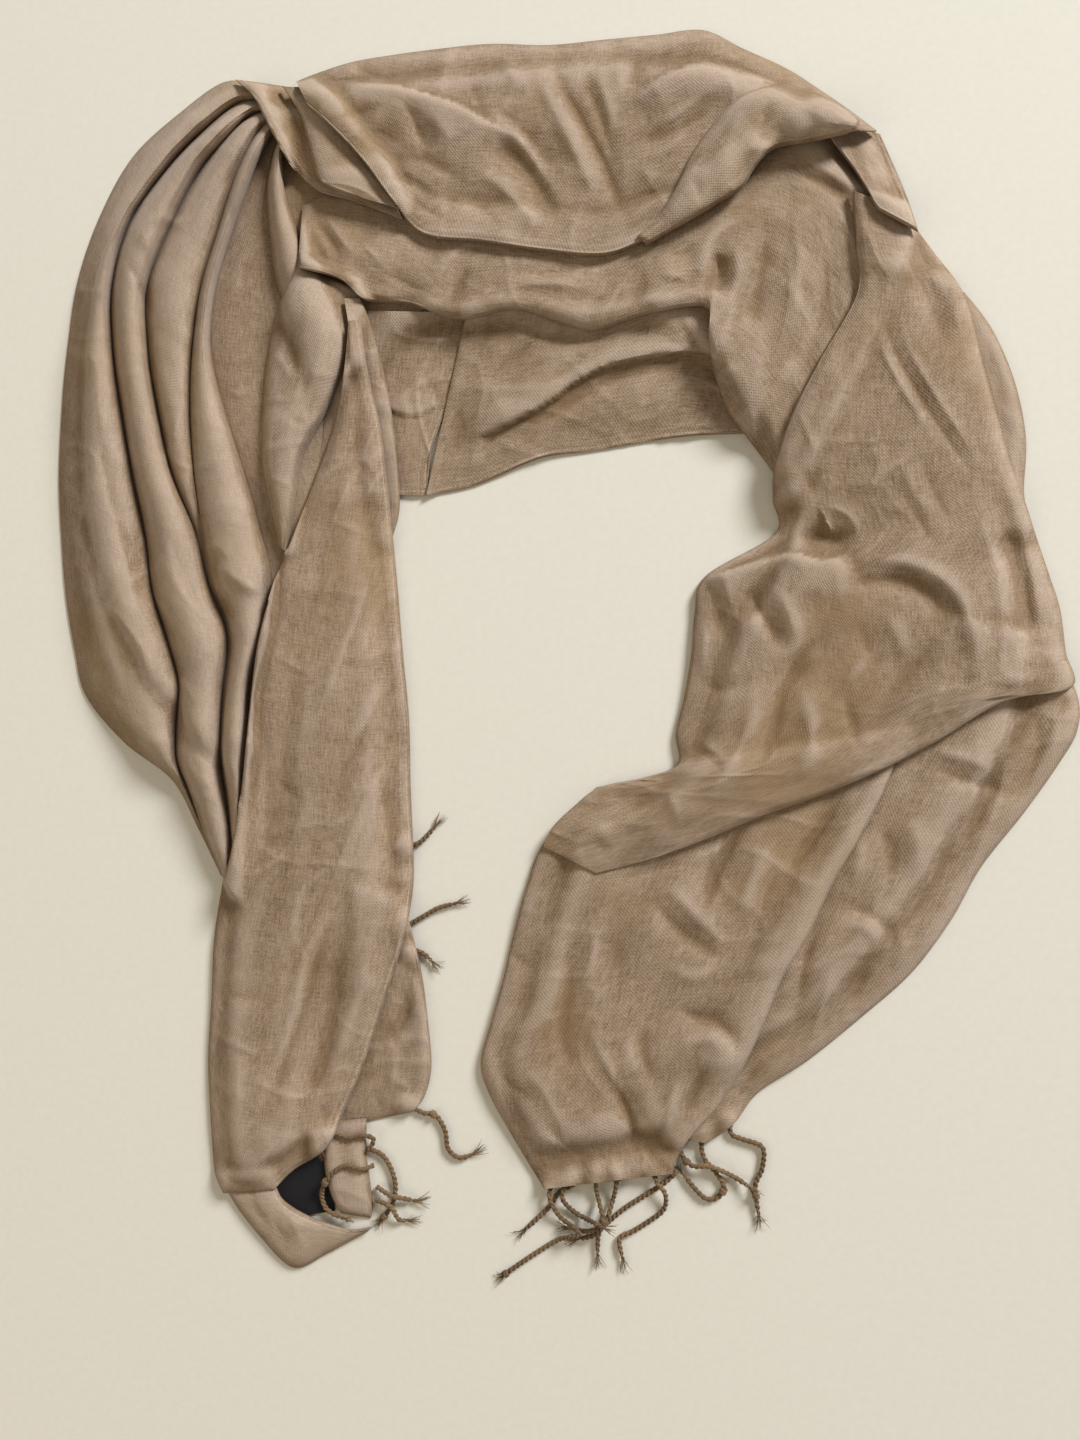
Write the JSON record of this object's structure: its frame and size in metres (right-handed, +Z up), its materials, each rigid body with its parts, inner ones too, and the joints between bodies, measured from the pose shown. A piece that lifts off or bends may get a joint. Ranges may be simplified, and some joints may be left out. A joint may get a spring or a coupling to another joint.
{
  "type": "fringed scarf",
  "caption": "A long woven scarf dropped in a loose arch on a flat surface, folded and gathered, with twisted fringe at its two ends.",
  "frame": {"origin": "the middle of the part's outline, on the surface it lies on", "axes": "+X to the right and +Y towards the top of the arch as seen from above, +Z up from the surface"},
  "size_m": [0.6173, 0.7461, 0.0327],
  "materials": {
    "taupe_cloth": "heathered plain weave, matt",
    "twisted_yarn": "two-ply twisted yarn, matt",
    "label_cloth": "bare woven tape, satin"
  },
  "bodies": {
    "root": {"collar": "taupe_cloth", "collar_flap": "taupe_cloth", "collar_left_end": "taupe_cloth", "collar_left_layer": "taupe_cloth", "collar_right_end": "taupe_cloth", "end_tongue": "taupe_cloth", "front_panel": "taupe_cloth", "front_panel_back": "taupe_cloth", "hidden_layers": "taupe_cloth", "inner_left_fold": "taupe_cloth", "label": "label_cloth", "left_edge_fringe": "twisted_yarn", "left_end_fringe": "twisted_yarn", "left_gathers": "taupe_cloth", "left_side_fringe_lower": "twisted_yarn", "left_side_fringe_upper": "twisted_yarn", "left_under_end": "taupe_cloth", "lower_band": "taupe_cloth", "lower_band_back": "taupe_cloth", "middle_band": "taupe_cloth", "right_back": "taupe_cloth", "right_back_fringe": "twisted_yarn", "right_end_fringe": "twisted_yarn", "right_front": "taupe_cloth", "right_lower": "taupe_cloth", "right_outer_fold": "taupe_cloth", "turned_hem": "taupe_cloth"}
  },
  "joints": []
}
